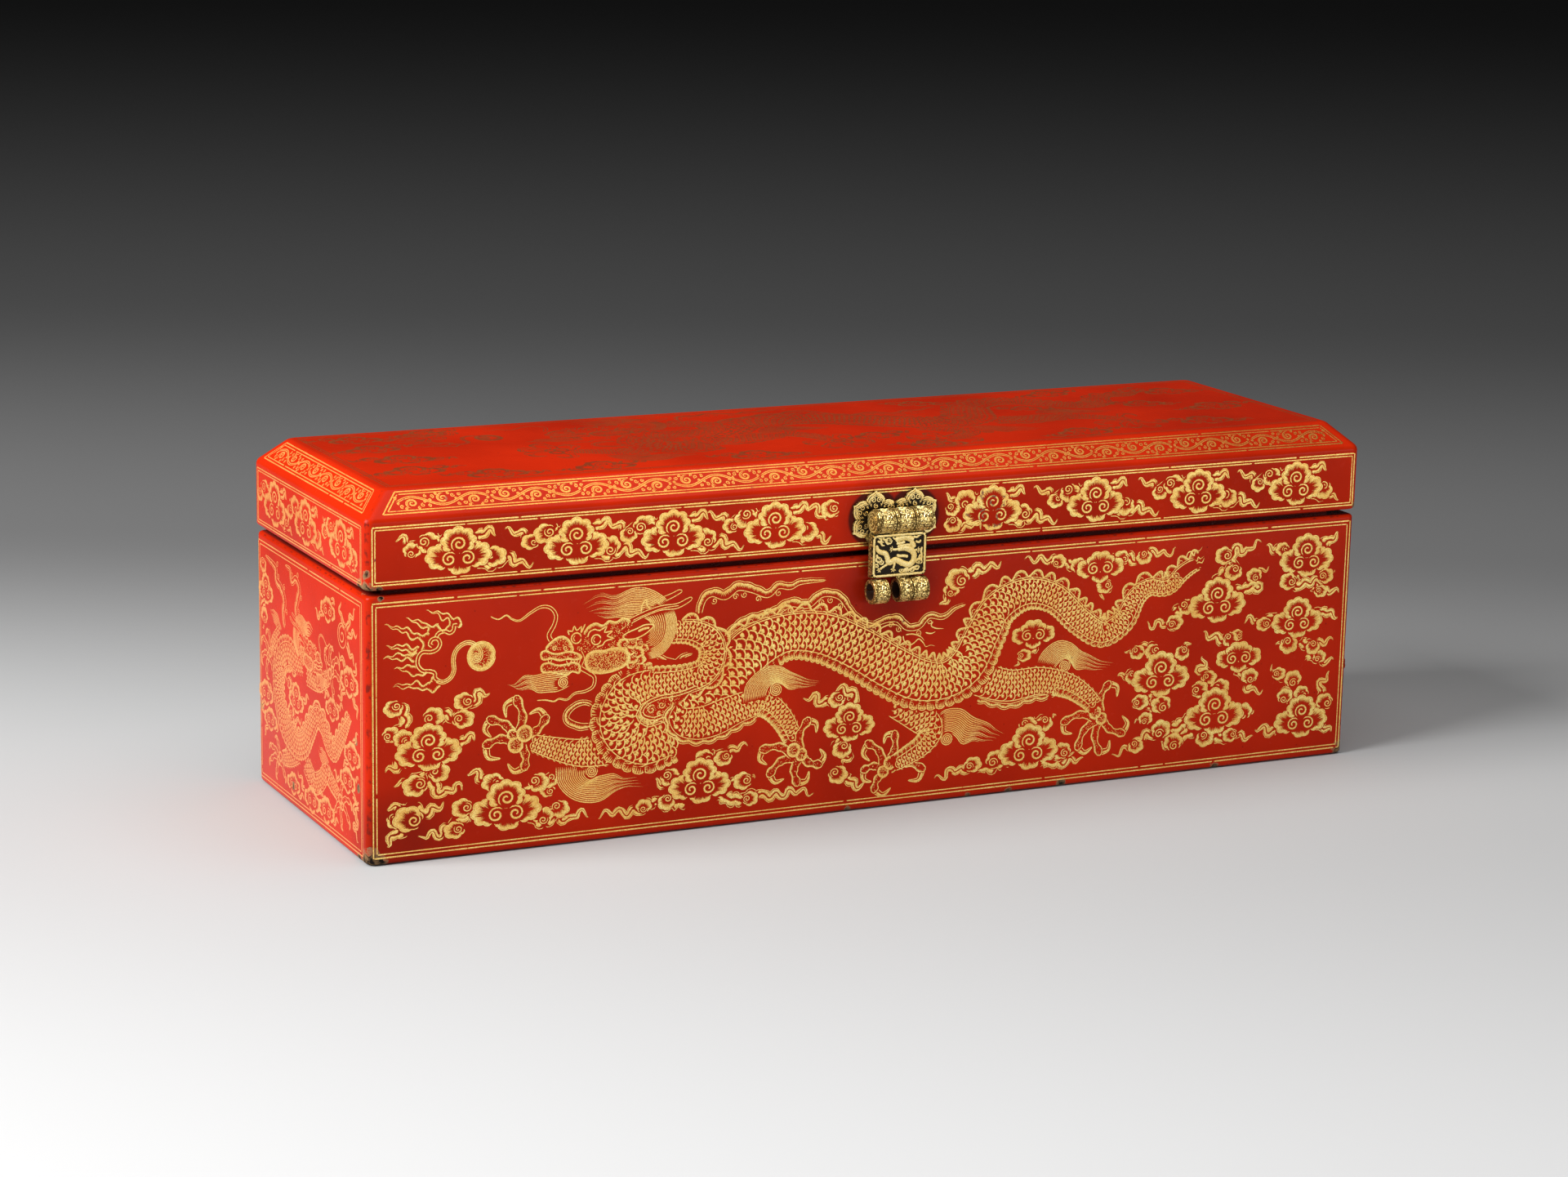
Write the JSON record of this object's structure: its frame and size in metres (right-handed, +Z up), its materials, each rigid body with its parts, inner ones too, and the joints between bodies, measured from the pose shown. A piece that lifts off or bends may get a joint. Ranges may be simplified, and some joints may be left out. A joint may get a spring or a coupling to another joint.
{
  "type": "sutra box",
  "caption": "Long lacquered box with a bevelled lid on rear hinges, an inner lip under the lid, and a front hasp that drops between bored staples for a padlock bolt.",
  "frame": {"origin": "middle of the underside of the base, on the surface that the box stands on", "axes": "+X to the right along the long front, +Y to the rear where the hinges are, +Z up; the hasp is on the -Y side"},
  "size_m": [0.406, 0.1397, 0.1316],
  "materials": {
    "red_lacquer": "polished red lacquer with incised and gilded lines",
    "inner_lacquer": "plain red lacquer",
    "black_lacquer": "plain black lacquer",
    "gilt_metal": "damascened and worn"
  },
  "bodies": {
    "base": {"base_bottom_board": "black_lacquer", "base_front_wall": "red_lacquer", "base_rear_wall": "red_lacquer", "base_left_wall": "red_lacquer", "base_right_wall": "red_lacquer", "liner_front": "inner_lacquer", "liner_rear": "inner_lacquer", "liner_left": "inner_lacquer", "liner_right": "inner_lacquer", "left_staple": "gilt_metal", "right_staple": "gilt_metal", "left_hinge_base_leaf": "gilt_metal", "right_hinge_base_leaf": "gilt_metal", "left_hinge_pin": "gilt_metal", "right_hinge_pin": "gilt_metal", "base_hinge_nails": "gilt_metal"},
    "lid": {"lid_top_board": "red_lacquer", "lid_front_wall": "red_lacquer", "lid_rear_wall": "red_lacquer", "lid_left_wall": "red_lacquer", "lid_right_wall": "red_lacquer", "left_rosette": "gilt_metal", "right_rosette": "gilt_metal", "left_hasp_knuckle": "gilt_metal", "right_hasp_knuckle": "gilt_metal", "hasp_pin": "gilt_metal", "left_hinge_lid_leaf": "gilt_metal", "right_hinge_lid_leaf": "gilt_metal", "lid_hinge_nails": "gilt_metal"},
    "hasp": {"hasp_strap": "gilt_metal", "hasp_face_plate": "gilt_metal"}
  },
  "joints": [
    {"name": "lid_hinge", "type": "hinge", "parent": "base", "child": "lid", "pos_m": [0, 0.0646, 0.097], "axis": [-1, 0, 0], "range_deg": [0, 180]},
    {"name": "hasp_hinge", "type": "hinge", "parent": "lid", "child": "hasp", "pos_m": [0, -0.067, 0.1098], "axis": [-1, 0, 0], "range_deg": [0, 180]}
  ]
}
